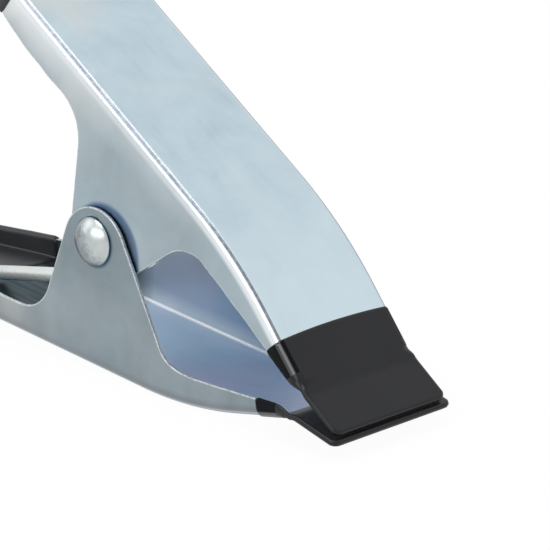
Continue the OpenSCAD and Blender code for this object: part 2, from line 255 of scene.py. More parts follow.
def free_edge(track, handle_d, jaw_d, ear_r, ear_rear, ear_front, rear_fillet, front_fillet):
    """The side walls' free edge with its ear, up to the bend into the lip."""
    rear = np.array([-math.cos(rad(ear_rear[0])), -math.sin(rad(ear_rear[0]))])
    front = np.array([math.cos(rad(ear_front[0])), -math.sin(rad(ear_front[0]))])
    apex = np.linalg.solve(np.array([rear, front]), np.array([ear_rear[1], ear_front[1]]))
    bend = rad(JAW_BEND)
    run = (LIP_R + SHEET) * math.tan((bend + track.slope) / 2) + RUN_OUT
    u_in, v_in = track.inner_corner
    curve_end = (JAW_START + JAW_R * math.sin(bend), WEB_H - JAW_R * (1 - math.cos(bend)))
    flank_v = curve_end[1] - (FLANK_U - curve_end[0]) * math.tan(bend) - FLANK_D
    return rounded([
        (-HANDLE_LEN - PAST_END, track.end_v - END_D + PAST_END * math.tan(rad(FLARE)), 0),
        (-HANDLE_LEN, track.end_v - END_D, 0),
        (-FLARE_START, WEB_H - handle_d, FLANK_ROUND),
        ((ear_rear[1] - rear[1] * (WEB_H - handle_d)) / rear[0], WEB_H - handle_d, rear_fillet),
        (apex[0], apex[1], ear_r),
        ((ear_front[1] - front[1] * (WEB_H - jaw_d)) / front[0], WEB_H - jaw_d, front_fillet),
        (JAW_START + FLANK_SHARE * (track.corner_u - JAW_START), WEB_H - jaw_d - FLANK_DROP,
         FLANK_ROUND),
        (FLANK_U, flank_v, FLANK_TURN),
        (u_in - run * math.cos(bend), v_in + run * math.sin(bend), 0),
        (u_in, v_in, 0),
        (u_in + PAST_LIP * math.cos(track.slope), v_in + PAST_LIP * math.sin(track.slope), 0),
    ])


def depth_below(track, edge, s):
    """How far below the web's outer face the free edge lies, square to the web."""
    u, v, heading = track.at(s)
    away = np.stack([np.sin(heading), -np.cos(heading)], axis=-1)
    start = np.stack([u, v], axis=-1)
    a, b = edge[:-1], edge[1:]
    along = b - a
    cross = away[:, None, 0] * along[None, :, 1] - away[:, None, 1] * along[None, :, 0]
    cross = np.where(np.abs(cross) < 1e-12, 1e-12, cross)
    gap = a[None] - start[:, None]
    reach = (gap[..., 0] * along[None, :, 1] - gap[..., 1] * along[None, :, 0]) / cross
    place = (gap[..., 0] * away[:, None, 1] - gap[..., 1] * away[:, None, 0]) / cross
    hit = (reach > 0) & (place > -1e-6) & (place < 1 + 1e-6)
    return np.where(hit, reach, NO_EDGE).min(axis=1)


# ---- Arms -------------------------------------------------------------------


class Arm:
    """One arm's track, section and place."""

    def __init__(self, side, width, lip, wall, cap_start):
        self.side = side
        self.width = width
        self.track = web_track(*lip)
        self.cap_start = cap_start
        edge = free_edge(self.track, *wall)
        self.grid = np.arange(0.0, self.track.length + DEPTH_STEP, DEPTH_STEP)
        depth = depth_below(self.track, edge, self.grid)
        self.depth = np.where(depth > NO_EDGE / 10, SHEET, np.maximum(depth, SHEET))
        turn = LIE if side < 0 else LIE + REST
        self.cos, self.sin = math.cos(rad(turn)), math.sin(rad(turn))

    def place(self, u, y, v):
        """From the arm's frame to the part's, in metres."""
        w = self.side * v
        x = PIVOT[0] + u * self.cos + w * self.sin
        z = PIVOT[1] - u * self.sin + w * self.cos
        return np.stack([x, y, z], axis=-1) * MM

    def section(self, s):
        """Flat half-width, fold radius, fold angle and unfolded half-width at s."""
        wall = np.interp(s, self.grid, self.depth) - SHEET
        folded = smooth((wall + FOLD_LEFT) / FOLD_OPEN)
        angle = math.pi / 2 * folded
        rest = wall + SHEET / 2
        tangent = np.tan(angle / 2)
        radius = np.minimum(FOLD_R, FOLD_FIT * rest / np.maximum(tangent, 1e-3))
        past = rest - radius * tangent
        reach = self.width / 2 - SHEET / 2 * np.sin(angle) - LIP_IN * (1 - folded)
        flat = reach - radius * np.sin(angle) - past * np.cos(angle)
        return flat, radius, angle, flat + radius * angle + past

    def across(self, q, s):
        """Where the point at unfolded distance q lies: y, drop below the web, tilt, and
        how far past the fold it is."""
        flat, radius, angle, _ = self.section(s)
        turn = np.clip((q - flat) / radius, 0.0, angle)
        past = np.maximum(q - flat - radius * angle, 0.0)
        y = np.minimum(q, flat) + radius * np.sin(turn) + past * np.cos(angle)
        drop = radius * (1 - np.cos(turn)) + past * np.sin(angle)
        return y, drop, turn, past


def column_layout(arm, s):
    """Unfolded distances of the columns at s, from the middle to the free edge."""
    flat, radius, angle, total = arm.section(s)
    web = np.array(WEB_COLUMNS)
    fold = np.linspace(0, 1, FOLD_COLUMNS)
    wall = np.linspace(0, 1, WALL_COLUMNS)[1:-1]
    fold_end = flat + radius * angle
    steep = np.sqrt(1 + np.gradient(total, s) ** 2)
    hem = np.minimum(HEM * steep, HEM_SHARE * (total - fold_end))
    folded = np.concatenate([
        web[None, :] * flat[:, None],
        flat[:, None] + fold[None, :] * (radius * angle)[:, None],
        fold_end[:, None] + wall[None, :] * (total - hem - fold_end)[:, None],
        (total - hem)[:, None],
        total[:, None],
    ], axis=1)
    count = folded.shape[1]
    even = np.linspace(0, 1, count - 1) ** CROWDING
    flat_q = np.concatenate([even[None, :] * (total - HEM)[:, None], total[:, None]], axis=1)
    share = smooth(angle / (math.pi / 2))[:, None]
    return share * folded + (1 - share) * flat_q


def corner_inset(y, half, radius):
    """How far an end with rounded corners falls short at distance y from the middle."""
    past = np.clip(np.abs(y) - (half - radius), 0.0, radius)
    return radius - np.sqrt(np.maximum(radius * radius - past * past, 0.0))


def stations(first, last):
    """Lengths along the web at which rows lie: close together at the ear and the lip."""
    s = first + END_STEP
    marks = [first, s]
    while s < last - END_STEP:
        u = s - HANDLE_LEN
        if EAR_ZONE[0] < u < EAR_ZONE[1]:
            s += EAR_STEP
        else:
            s += LIP_STEP if LIP_ZONE < u else ROW_STEP
        marks.append(min(s, last - END_STEP))
    marks.append(last)
    out = [marks[0]]
    for m in marks[1:]:
        if m - out[-1] > LEAST_STEP:
            out.append(m)
    out[-1] = last
    return np.array(out)


# ---- Sheet pieces -----------------------------------------------------------

SHEARED = ((1.0, -1.0), (0.97, -0.45), (0.8, -0.12), (0.45, 0.0), (-0.45, 0.0),
           (-0.8, -0.12), (-0.97, -0.45), (-1.0, -1.0))


def round_rim(count=9):
    """Half a circle across the thickness, for a dipped edge."""
    angles = np.linspace(math.pi / 2, -math.pi / 2, count)
    return tuple((math.sin(a), math.cos(a)) for a in angles)


def edge_wave(arm, s, side):
    """A slight, slow wander of the free edge, none near the rivet and the lip."""
    u = s - HANDLE_LEN
    past_rivet = smooth((np.abs(u) - 12.0) / 10.0)
    before_lip = smooth((arm.track.length - 16.0 - s) / 12.0)
    phase = 1.7 if arm.side > 0 else 0.4
    slow = np.sin(s * 0.31 + phase + side)
    quick = 0.6 * np.sin(s * 0.83 + 2.0 * phase - side)
    return WAVE * (past_rivet * before_lip) * (slow + quick)


def far_rise(arm, s, side):
    """How much higher the far wall stands: only behind the lower arm's ear."""
    if arm.side > 0 or side < 0:
        return np.zeros_like(s)
    u = s - HANDLE_LEN
    begins = smooth((u + 34.0) / 10.0)
    ends = smooth((-9.0 - u) / 5.0)
    return FAR_RISE * begins * ends


HANDLE_BEND = 16.0   # over this length the rows bend to the handle's rounded end,
LIP_BEND = 5.0       # and over this one to the lip's
CALM_DROP = 1.5      # the edge's wander starts this far below the web,
CALM_SPAN = 6.0      # and is whole this much further down


def sheet_grid(arm, s_rows, reach_out, first_inset, last_inset):
    """Middle points and normals of a sheet, one row per station, near wall to far wall,
    and where each point lies: how far round the fold, down the wall and along the arm.

    reach_out moves the free edge outwards. The insets round the two ends off; they are
    functions of the distance from the middle.
    """
    half_columns = []
    layout = column_layout(arm, s_rows)
    total = layout[:, -1:]
    layout = layout * (total + reach_out) / total
    first, last = s_rows[0], s_rows[-1]
    for side in (-1, 1):
        points, normals, marks = [], [], []
        for j in range(layout.shape[1]):
            s = s_rows.copy()
            for _ in range(2):
                q = np.array([np.interp(x, s_rows, layout[:, j]) for x in s])
                y = arm.across(q, s)[0]
                start = first + first_inset(y[0])
                stop = last - last_inset(y[-1])
                low = first + HANDLE_BEND
                high = last - LIP_BEND
                s = s_rows.copy()
                near = s_rows < low
                s[near] = low - (low - s_rows[near]) * (low - start) / (low - first)
                far = s_rows > high
                s[far] = high + (s_rows[far] - high) * (stop - high) / (last - high)
            q = np.interp(s, s_rows, layout[:, j])
            y, drop, tilt, past = arm.across(q, s)
            u, v, heading = arm.track.at(s)
            out_u, out_v = -np.sin(heading), np.cos(heading)
            flat, _, _, whole = arm.section(s)
            low_down = np.clip(past / np.maximum(whole - flat, 1.0), 0, 1)
            depth = SHEET / 2 + drop + far_rise(arm, s, side) * low_down
            free = np.clip((drop - CALM_DROP) / CALM_SPAN, 0.0, 1.0)
            y = y + edge_wave(arm, s, side) * free
            points.append(np.stack([u - out_u * depth, side * y, v - out_v * depth], axis=-1))
            normals.append(np.stack([out_u * np.cos(tilt), side * np.sin(tilt),
                                     out_v * np.cos(tilt)], axis=-1))
            marks.append(np.stack([tilt / (math.pi / 2), past, u], axis=-1))
        half_columns.append((points, normals, marks))
    (pa, na, ma), (pb, nb, mb) = half_columns
    points = np.stack(pa[::-1] + pb[1:], axis=1)
    normals = np.stack(na[::-1] + nb[1:], axis=1)
    marks = np.stack(ma[::-1] + mb[1:], axis=1)
    return points, normals, marks


def boundary(rows, cols):
    """Grid places all round the sheet's border, in order."""
    ring = [(0, j) for j in range(cols)]
    ring += [(i, cols - 1) for i in range(1, rows)]
    ring += [(rows - 1, j) for j in range(cols - 2, -1, -1)]
    ring += [(i, 0) for i in range(rows - 2, 0, -1)]
    return ring


def unit_rows(a):
    return a / np.maximum(np.linalg.norm(a, axis=-1, keepdims=True), 1e-12)


def circle(sides):
    """The angles of a ring of points."""
    return [2 * math.pi * k / sides for k in range(sides)]


def between_rings(count, sides):
    """Faces between each ring of points and the next; each ring is closed on itself."""
    faces = []
    for m in range(count - 1):
        low, high = m * sides, (m + 1) * sides
        for k in range(sides):
            n = (k + 1) % sides
            faces.append((low + k, low + n, high + n, high + k))
    return faces


def end_caps(count, sides):
    """The two faces that close a stack of rings."""
    last = (count - 1) * sides
    return [tuple(range(sides)), tuple(range(last + sides - 1, last - 1, -1))]


def add_to_scene(name, data):
    item = bpy.data.objects.new(name, data)
    bpy.context.scene.collection.objects.link(item)
    return item


def new_object(name, verts, faces, values=None):
    """A smooth shaded mesh object with its faces turned outwards."""
    mesh = bpy.data.meshes.new(name)
    mesh.from_pydata([tuple(v) for v in verts], [], faces)
    for key, numbers in (values or {}).items():
        mesh.attributes.new(key, "FLOAT", "POINT").data.foreach_set("value", numbers)
    work = bmesh.new()
    work.from_mesh(mesh)
    bmesh.ops.remove_doubles(work, verts=work.verts, dist=WELD)
    bmesh.ops.recalc_face_normals(work, faces=work.faces)
    work.to_mesh(mesh)
    work.free()
    mesh.shade_smooth()
    return add_to_scene(name, mesh)


def sheet_solid(name, arm, grid, thick, rim, rim_size, sunk=0.0):
    """Closes a grid of middle points into a sheet of even thickness with a shaped rim.

    sunk is the share by which, behind BARE_U, a coat's inner face lies in its sheet.
    """
    points, normals, marks = grid
    rows, cols, _ = points.shape
    ring = boundary(rows, cols)
    count = len(ring)
    border = np.array([points[i, j] for i, j in ring])
    border_n = np.array([normals[i, j] for i, j in ring])
    inside = np.array([points[min(max(i, 1), rows - 2), min(max(j, 1), cols - 2)]
                       for i, j in ring])
    along = unit_rows(np.roll(border, -1, axis=0) - np.roll(border, 1, axis=0))
    out = np.cross(along, border_n)
    out = unit_rows(out * np.sign(np.sum(out * (border - inside), axis=1, keepdims=True)))
    share = 1 - sunk * smooth((BARE_U - marks[..., 2:]) / BARE_FADE)
    outer = points + normals * thick / 2
    inner = points - normals * share * thick / 2
    ring_share = np.array([share[i, j] for i, j in ring])
    rings = []
    for c, o in rim:
        reach = c if c > 0 else c * ring_share
        rings.append(border + border_n * reach * thick / 2 + out * o * rim_size)
    for k, (i, j) in enumerate(ring):
        outer[i, j] = rings[0][k]
        inner[i, j] = rings[-1][k]
    size = rows * cols
    middle_rings = len(rings) - 2
    verts = [outer.reshape(-1, 3), inner.reshape(-1, 3)] + rings[1:-1]
    faces = []
    for i in range(rows - 1):
        for j in range(cols - 1):
            a = i * cols + j
            faces.append((a, a + 1, a + cols + 1, a + cols))
            faces.append((size + a, size + a + cols, size + a + cols + 1, size + a + 1))
    flat_ring = [i * cols + j for i, j in ring]
    levels = [flat_ring]
    for m in range(middle_rings):
        levels.append([2 * size + m * count + k for k in range(count)])
    levels.append([size + f for f in flat_ring])
    for low, high in zip(levels, levels[1:]):
        for k in range(count):
            n = (k + 1) % count
            faces.append((low[k], low[n], high[n], high[k]))
    ring_marks = np.array([marks[i, j] for i, j in ring])
    marks = np.concatenate([marks.reshape(-1, 3)] * 2 + [ring_marks] * middle_rings)
    border_mask = np.zeros(size)
    border_mask[flat_ring] = 1.0
    between = np.ones(count * middle_rings)
    values = {
        "rim": np.concatenate([border_mask, border_mask, between]),
        "inside": np.concatenate([np.zeros(size), np.ones(size), between * 0.5]),
        "fold": marks[:, 0],
        "wall": marks[:, 1],
        "along": marks[:, 2],
    }
    u, y, v = np.concatenate(verts).T
    return new_object(name, arm.place(u, y, v), faces, values)


def bore(piece, radius):
    """Cuts the rivet's hole through both ears."""
    sides = 64
    past_ears = 0.03
    verts = []
    for y in (-past_ears, past_ears):
        for a in circle(sides):
            x = PIVOT[0] * MM + radius * math.cos(a)
            z = PIVOT[1] * MM + radius * math.sin(a)
            verts.append((x, y, z))
    cutter = new_object("bore_cutter", verts, between_rings(2, sides) + end_caps(2, sides))
    cut = piece.modifiers.new("bore", "BOOLEAN")
    cut.operation = "DIFFERENCE"
    cut.solver = "EXACT"
    cut.object = cutter
    graph = bpy.context.evaluated_depsgraph_get()
    mesh = bpy.data.meshes.new_from_object(piece.evaluated_get(graph))
    piece.modifiers.clear()
    piece.data = mesh
    bpy.data.objects.remove(cutter)


def steel_arm(name, arm):
    """The pressed arm; its ends stay just inside the coats."""
    handle_back, lip_back = 1.5, 0.6
    s_rows = stations(handle_back, arm.track.length - lip_back)
    half = arm.width / 2
    grid = sheet_grid(arm, s_rows, 0.0,
                      lambda y: corner_inset(y, half, HANDLE_CORNER),
                      lambda y: corner_inset(y, half, LIP_CORNER))
    piece = sheet_solid(name, arm, grid, SHEET, SHEARED, EDGE_ROUND)
    bore(piece, (RIVET_R + BORE_PLAY) * MM)
    return piece


def jaw_coat(name, arm):
    """The dipped coat on a jaw, with the arched line at which the dip ended."""
    thick = SHEET + 2 * CAP_T
    back = thick / 2 - CAP_T
    half = arm.width / 2
    first = arm.track.s_of_u(arm.cap_start) + thick / 2
    s_rows = stations(first, arm.track.length - back)
    grid = sheet_grid(arm, s_rows, -back,
                      lambda y: -CAP_ARCH * (1 - (y / half) ** 2),
                      lambda y: corner_inset(y, half - back, LIP_CORNER - back))
    return sheet_solid(name, arm, grid, thick, round_rim(), thick / 2, CAP_SUNK)


def handle_coat(name, arm):
    """The dipped coat on a handle."""
    thick = SHEET + 2 * GRIP_T
    back = thick / 2 - GRIP_T
    half = arm.width / 2
    last = arm.track.s_of_u(-GRIP_START) - GRIP_ARCH
    s_rows = stations(back, last)
    grid = sheet_grid(arm, s_rows, -back,
                      lambda y: corner_inset(y, half - back, HANDLE_CORNER - back),
                      lambda y: GRIP_ARCH * (1 - (y / half) ** 2))
    return sheet_solid(name, arm, grid, thick, round_rim(), thick / 2)


# ---- Rivet and spring -------------------------------------------------------


def lathe(name, profile, sides=72):
    """A closed solid turned about the rivet's axis from (y, radius) points."""
    verts = []
    for y, r in profile[1:-1]:
        for a in circle(sides):
            verts.append((PIVOT[0] + r * math.cos(a), y, PIVOT[1] + r * math.sin(a)))
    first_crown = len(verts)
    last_ring = first_crown - sides
    verts.append((PIVOT[0], profile[0][0], PIVOT[1]))
    verts.append((PIVOT[0], profile[-1][0], PIVOT[1]))
    faces = between_rings(len(profile) - 2, sides)
    for k in range(sides):
        n = (k + 1) % sides
        faces.append((first_crown, n, k))
        faces.append((first_crown + 1, last_ring + k, last_ring + n))
    return new_object(name, np.array(verts) * MM, faces)


# A head's rim: distance from the ear, and how far inside the head's radius.
BRIM = ((0.0, 0.25), (0.03, 0.1), (0.12, 0.02), (0.28, 0.03))
SHANK_EDGE = 0.3     # the shank's rings lie this far inside the ears too


def dome_profile(radius, height, count=12):
    """(distance from the ear, radius) from the rim up to the crown of a domed head."""
    ball = (radius ** 2 + height ** 2) / (2 * height)
    start = math.asin(radius / ball)
    points = [(out, radius - less) for out, less in BRIM]
    foot, widest = points[-1]
    for k in range(1, count + 1):
        a = start * (1 - k / count)
        h = ball * math.cos(a) - (ball - height)
        points.append((foot + h * (height - foot) / height,
                       widest * math.sin(a) / math.sin(start)))
    return points


def make_rivet():
    """The shank with a domed head at each end, as one turned solid."""
    ear = LOWER_W / 2
    inside = ear - SHANK_EDGE
    near = dome_profile(HEAD_R, HEAD_H)
    far = dome_profile(TAIL_R, HEAD_H)
    profile = [(-ear - h, r) for h, r in reversed(near)]
    profile[0] = (profile[0][0], 0.0)
    profile += [(y, RIVET_R) for y in (-ear, -inside, inside, ear)]
    profile += [(ear + h, r) for h, r in far]
    profile[-1] = (profile[-1][0], 0.0)
    return lathe("rivet_turned", profile)


def halfway_point(u, v, side):
    """An arm's point seen from the plane halfway between the arms."""
    a = rad(HALF)
    ahead = u * math.cos(a) + v * math.sin(a)
    return np.array([ahead, side * (v * math.cos(a) - u * math.sin(a))])


STEPS_A_TURN = 40
CUT_END = ((0.0, 0.9), (0.15, 1.0))   # rings of a cut end: distance in, share of the wire


def wire_middle():
    """Points along the middle of the spring's wire, in the halfway frame."""
    knee = np.array(KNEE)
    lean = math.acos(COIL_R / np.linalg.norm(knee)) - math.atan2(-KNEE[0], KNEE[1])
    end = np.array([-LEG_LEN, WEB_H - SHEET - WIRE_R - LEG_GAP])
    touch = COIL_R * np.array([math.sin(lean), math.cos(lean)])
    from_knee = (end - knee) / np.linalg.norm(end - knee)
    to_coil = (touch - knee) / np.linalg.norm(touch - knee)
    far = knee + from_knee * KNEE_REACH
    near = knee + to_coil * KNEE_REACH

    def leg(side):
        points = []
        for t in np.linspace(0, 1, 28):
            p = end + (far - end) * t
            y = LEG_SIDE + (COIL_HALF - LEG_SIDE) * t
            points.append((p, y))
        for t in np.linspace(0, 1, 12)[1:]:
            p = far * (1 - t) ** 2 + knee * 2 * t * (1 - t) + near * t ** 2
            points.append((p, COIL_HALF))
        for t in np.linspace(0, 1, 5)[1:-1]:
            points.append((near + (touch - near) * t, COIL_HALF))
        out = []
        for p, y in points:
            q = halfway_point(*p, side)
            out.append((q[0], side * y, q[1]))
        return out

    low = lean + rad(HALF) - math.pi / 2
    high = -low + 2 * math.pi * COIL_TURNS
    coil = []
    steps = COIL_TURNS * STEPS_A_TURN
    for k in range(steps + 1):
        t = k / steps
        a = low + (high - low) * t
        coil.append((COIL_R * math.cos(a), COIL_HALF * (2 * t - 1), COIL_R * math.sin(a)))
    return np.array(leg(-1) + coil + leg(1)[::-1])


def make_spring(sides=16):
    """The wire swept along its middle, with cut ends."""
    middle = wire_middle()
    along = unit_rows(np.gradient(middle, axis=0))
    axis = np.array([0.0, 1.0, 0.0])
    out = unit_rows(np.cross(along, axis))
    side = np.cross(along, out)
    rings = []
    for inset, scale in CUT_END:
        rings.append((middle[0] + along[0] * inset, out[0], side[0], scale))
    for k in range(1, len(middle) - 1):
        rings.append((middle[k], out[k], side[k], 1.0))
    for inset, scale in reversed(CUT_END):
        rings.append((middle[-1] - along[-1] * inset, out[-1], side[-1], scale))
    turn = rad(LIE + HALF)
    verts = []
    for centre, o, w, scale in rings:
        for a in circle(sides):
            p = centre + WIRE_R * scale * (math.cos(a) * o + math.sin(a) * w)
            x = PIVOT[0] + p[0] * math.cos(turn) + p[2] * math.sin(turn)
            z = PIVOT[1] - p[0] * math.sin(turn) + p[2] * math.cos(turn)
            verts.append((x * MM, p[1] * MM, z * MM))
    faces = between_rings(len(rings), sides) + end_caps(len(rings), sides)
    return new_object("spring_wire_wound", verts, faces)


# ---- Materials --------------------------------------------------------------


def set_stops(node, stops):
    """Gives a colour ramp its (place, colour) stops."""
    marks = node.color_ramp.elements
    while len(marks) < len(stops):
        marks.new(0.5)
    for mark, (place, colour) in zip(marks, stops):
        mark.position = place
        mark.color = (*colour, 1)


class Nodes:
    """A material's node tree, with short ways to add to it."""

    def __init__(self, name):
        self.material = bpy.data.materials.new(name)
        self.material.use_nodes = True
        self.tree = self.material.node_tree
        self.shader = self.tree.nodes["Principled BSDF"]

    def add(self, kind, **settings):
        node = self.tree.nodes.new(kind)
        for key, value in settings.items():
            setattr(node, key, value)
        return node

    def link(self, source, target):
        self.tree.links.new(source, target)

    def coordinates(self, scale):
        """Object coordinates, stretched by three factors."""
        where = self.add("ShaderNodeTexCoord")
        mapping = self.add("ShaderNodeMapping")
        mapping.inputs["Scale"].default_value = scale
        self.link(where.outputs["Object"], mapping.inputs["Vector"])
        return mapping.outputs["Vector"]

    def noise(self, vector, scale, detail=3.0, rough=0.5, distortion=0.0):
        node = self.add("ShaderNodeTexNoise")
        node.inputs["Scale"].default_value = scale
        node.inputs["Detail"].default_value = detail
        node.inputs["Roughness"].default_value = rough
        node.inputs["Distortion"].default_value = distortion
        self.link(vector, node.inputs["Vector"])
        return node.outputs["Fac"]

    def ramp(self, value, stops):
        """A colour ramp of (place, colour) stops."""
        node = self.add("ShaderNodeValToRGB")
        set_stops(node, stops)
        self.link(value, node.inputs["Fac"])
        return node.outputs["Color"]

    def mask(self, name):
        """A value that the mesh carries at its points."""
        node = self.add("ShaderNodeAttribute", attribute_name=name)
        return node.outputs["Fac"]

    def span(self, value, low, high, to_low=0.0, to_high=1.0):
        """The value from low..high brought to to_low..to_high, and held there."""
        node = self.add("ShaderNodeMapRange")
        node.inputs["From Min"].default_value = low
        node.inputs["From Max"].default_value = high
        node.inputs["To Min"].default_value = to_low
        node.inputs["To Max"].default_value = to_high
        self.link(value, node.inputs["Value"])
        return node.outputs["Result"]

    def put(self, socket, value):
        """Sets a socket to a number or a colour, or links an output to it."""
        if isinstance(value, (int, float)):
            socket.default_value = value
        elif isinstance(value, tuple):
            socket.default_value = (*value, 1)
        else:
            self.link(value, socket)

    def give(self, name, value):
        """Gives one of the shader's inputs a number, a colour or an output."""
        self.put(self.shader.inputs[name], value)

    def math(self, kind, a, b):
        node = self.add("ShaderNodeMath", operation=kind)
        self.put(node.inputs[0], a)
        self.put(node.inputs[1], b)
        return node.outputs["Value"]

    def times(self, a, b):
        return self.math("MULTIPLY", a, b)

    def plus(self, a, b):
        return self.math("ADD", a, b)

    def mix(self, share, a, b):
        """Colour a, turning into colour b as the share goes from 0 to 1."""
        node = self.add("ShaderNodeMix", data_type="RGBA")
        self.put(node.inputs[0], share)
        self.put(node.inputs[6], a)
        self.put(node.inputs[7], b)
        return node.outputs[2]

    def bump(self, height, strength, distance):
        node = self.add("ShaderNodeBump")
        node.inputs["Strength"].default_value = strength
        node.inputs["Distance"].default_value = distance
        self.link(height, node.inputs["Height"])
        self.give("Normal", node.outputs["Normal"])


# Painted shadows round the joint, of the lower ear on the upper arm's wall and of the rivet's head
# on the lower ear: centre from the pivot, radius, soft border, colour at the border and within.
EAR_PAINTED_SHADOW = ((2.3, -1.5), 9.4, 0.8, (0.06, 0.14, 0.27), (0.02, 0.05, 0.10))
HEAD_PAINTED_SHADOW = ((0.35, -0.1), 5.15, 0.3, (0.10, 0.17, 0.25), (0.03, 0.06, 0.10))
# Tones of the plate: plain colours, and (place, colour) stops of the noises.
# painted shade: the side walls are coloured darker than the web, the lower arm's darkest
LOWER_WALL_PAINTED_SHADE = (0.235, 0.29, 0.32)
# painted shade along the lower arm's folds and down the walls next to them
LOWER_FOLD_PAINTED_SHADE = (0.18, 0.20, 0.22)
UPPER_WALL_PAINTED_SHADE = (0.34, 0.42, 0.46)
# painted highlight along the upper arm's folds and down the walls next to them
UPPER_FOLD_PAINTED_HIGHLIGHT = (0.92, 0.95, 0.97)
WEB_STOPS = ((0.30, (0.50, 0.63, 0.70)), (0.50, (0.57, 0.70, 0.77)), (0.70, (0.63, 0.75, 0.81)))
WEB_WARM = (0.70, 0.69, 0.64)
WEB_JAW = (0.74, 0.87, 0.93)
WALL_WARM = (0.66, 0.66, 0.62)
FOLD_PAINTED_HIGHLIGHT = (0.90, 0.94, 0.96)
FOLD_PAINTED_DARK_REFLECTION = (0.15, 0.16, 0.19)
INNER_STOPS = ((0.40, (0.50, 0.68, 0.80)), (0.50, (0.52, 0.64, 0.78)), (0.60, (0.60, 0.62, 0.76)))
INNER_JAW = (0.26, 0.38, 0.60)
INNER_WALL_PAINTED_SHADE = (0.10, 0.22, 0.36)
INNER_FOLD_PAINTED_HIGHLIGHT = (0.86, 0.91, 0.94)
INNER_HANDLE_PAINTED_SHADE = (0.012, 0.045, 0.06)
STREAK = (0.86, 0.90, 0.92)
EDGE_STOPS = ((0.36, (0.42, 0.45, 0.47)), (0.55, (0.68, 0.71, 0.72)))


def zinc_values(n):
    """What the plate's look goes by: noises, and where on the arm a point lies."""
    plain = n.coordinates((1, 1, 1))
    along = n.mask("along")
    return SimpleNamespace(
        cloud=n.noise(plain, 70.0, 4.0, 0.6, 0.4),
        patch=n.noise(plain, 26.0, 2.0, 0.5),
        wide=n.noise(plain, 45.0, 2.0, 0.5, 0.6),
        streak=n.noise(n.coordinates((0.35, 6.0, 0.35)), 160.0, 3.0, 0.6),
        grain=n.noise(plain, 1500.0, 2.0, 0.7),
        ragged=n.noise(plain, 900.0, 3.0, 0.7),
        fold=n.mask("fold"),
        wall=n.mask("wall"),
        along=along,
        handle=n.span(along, -8.0, -32.0),
        jaw=n.span(along, 8.0, 26.0),
        inside=n.mask("inside"),
        edge=n.span(n.mask("rim"), 0.1, 0.9),
    )


def zinc_web(n, v):
    """The web: cloudy blue, with warm patches on the handle, and paler at the jaw."""
    web = n.ramp(v.cloud, WEB_STOPS)
    warm = n.times(n.span(v.patch, 0.44, 0.58, 0.0, 0.75), v.handle)
    web = n.mix(warm, web, WEB_WARM)
    return n.mix(n.span(v.along, 14.0, 40.0, 0.0, 0.5), web, WEB_JAW)


def zinc_walls(n, v, wall_shade, fold_painted_light):
    """The side walls: painted shade darker than the web, warm on the handle, and the fold's painted
    light near it: a painted highlight on the upper arm, painted shade on the lower.
    """
    darker = tuple(0.87 * c for c in wall_shade)
    lighter = tuple(1.13 * c for c in wall_shade)
    tone = n.mix(n.span(v.cloud, 0.3, 0.7), darker, lighter)
    tone = n.mix(n.times(n.span(v.wide, 0.40, 0.58, 0.15, 0.75), v.handle), tone, WALL_WARM)
    # near the fold the walls take the fold's painted light: a painted highlight on the upper arm,
    # painted shade on the lower
    upper = n.times(n.span(v.wall, 6.0, 0.0), n.span(v.jaw, 0.0, 1.0, 0.24, 0.04))
    tone = n.mix(upper, tone, fold_painted_light)
    near_fold = n.times(n.span(v.wall, 0.9, 0.0), n.span(v.jaw, 0.0, 1.0, 0.42, 0.75))
    tone = n.mix(near_fold, tone, fold_painted_light)
    upper = n.times(n.span(v.wall, 7.5, 0.0, 0.0, 0.55), v.handle)
    return n.mix(upper, tone, fold_painted_light)


def zinc_outside(n, v, wall_shade, fold_painted_light):
    """Web and walls, with a painted highlight strip and a ragged painted dark reflection line along
    the fold.
    """
    outside = n.mix(n.span(v.fold, 0.30, 0.75), zinc_web(n, v),
                    zinc_walls(n, v, wall_shade, fold_painted_light))
    # painted highlight: a bright strip on the web side of the fold
    bright = n.times(n.span(v.fold, 0.02, 0.10), n.span(v.fold, 0.26, 0.18))
    bright = n.times(bright, n.span(v.jaw, 0.0, 1.0, 0.45, 0.1))
    outside = n.mix(bright, outside, FOLD_PAINTED_HIGHLIGHT)
    # painted reflection: a ragged dark line across the fold
    line = n.times(n.span(v.fold, 0.20, 0.28), n.span(v.fold, 0.56, 0.44))
    line = n.times(line, n.span(v.ragged, 0.35, 0.60, 0.80, 1.0))
    return n.mix(line, outside, FOLD_PAINTED_DARK_REFLECTION)


def zinc_inside(n, v):
    """The channel: blue, deeper at the jaw, with painted shade on its walls towards the jaw, a
    painted highlight in the hollow of the fold, and painted shade, nearly black, in the handle."""
    within = n.ramp(n.plus(n.times(v.wide, 0.6), n.times(v.patch, 0.4)), INNER_STOPS)
    within = n.mix(n.span(v.along, 2.0, 34.0, 0.08, 0.60), within, INNER_JAW)
    # painted shade on the channel's walls, growing towards the jaw
    shaded = n.times(n.span(v.fold, 0.8, 1.0), n.span(v.along, 2.0, 26.0, 0.0, 0.60))
    within = n.mix(shaded, within, INNER_WALL_PAINTED_SHADE)
    # painted highlight in the hollow of the fold, fading towards the handle
    hollow = n.times(n.span(v.fold, 0.0, 0.3), n.span(v.wall, 3.2, 0.5))
    hollow = n.times(hollow, n.span(v.along, 44.0, 8.0, 0.15, 0.75))
    within = n.mix(hollow, within, INNER_FOLD_PAINTED_HIGHLIGHT)
    # painted shade: the handle's channel is coloured nearly black
    return n.mix(n.span(v.along, -14.0, -22.0), within, INNER_HANDLE_PAINTED_SHADE)


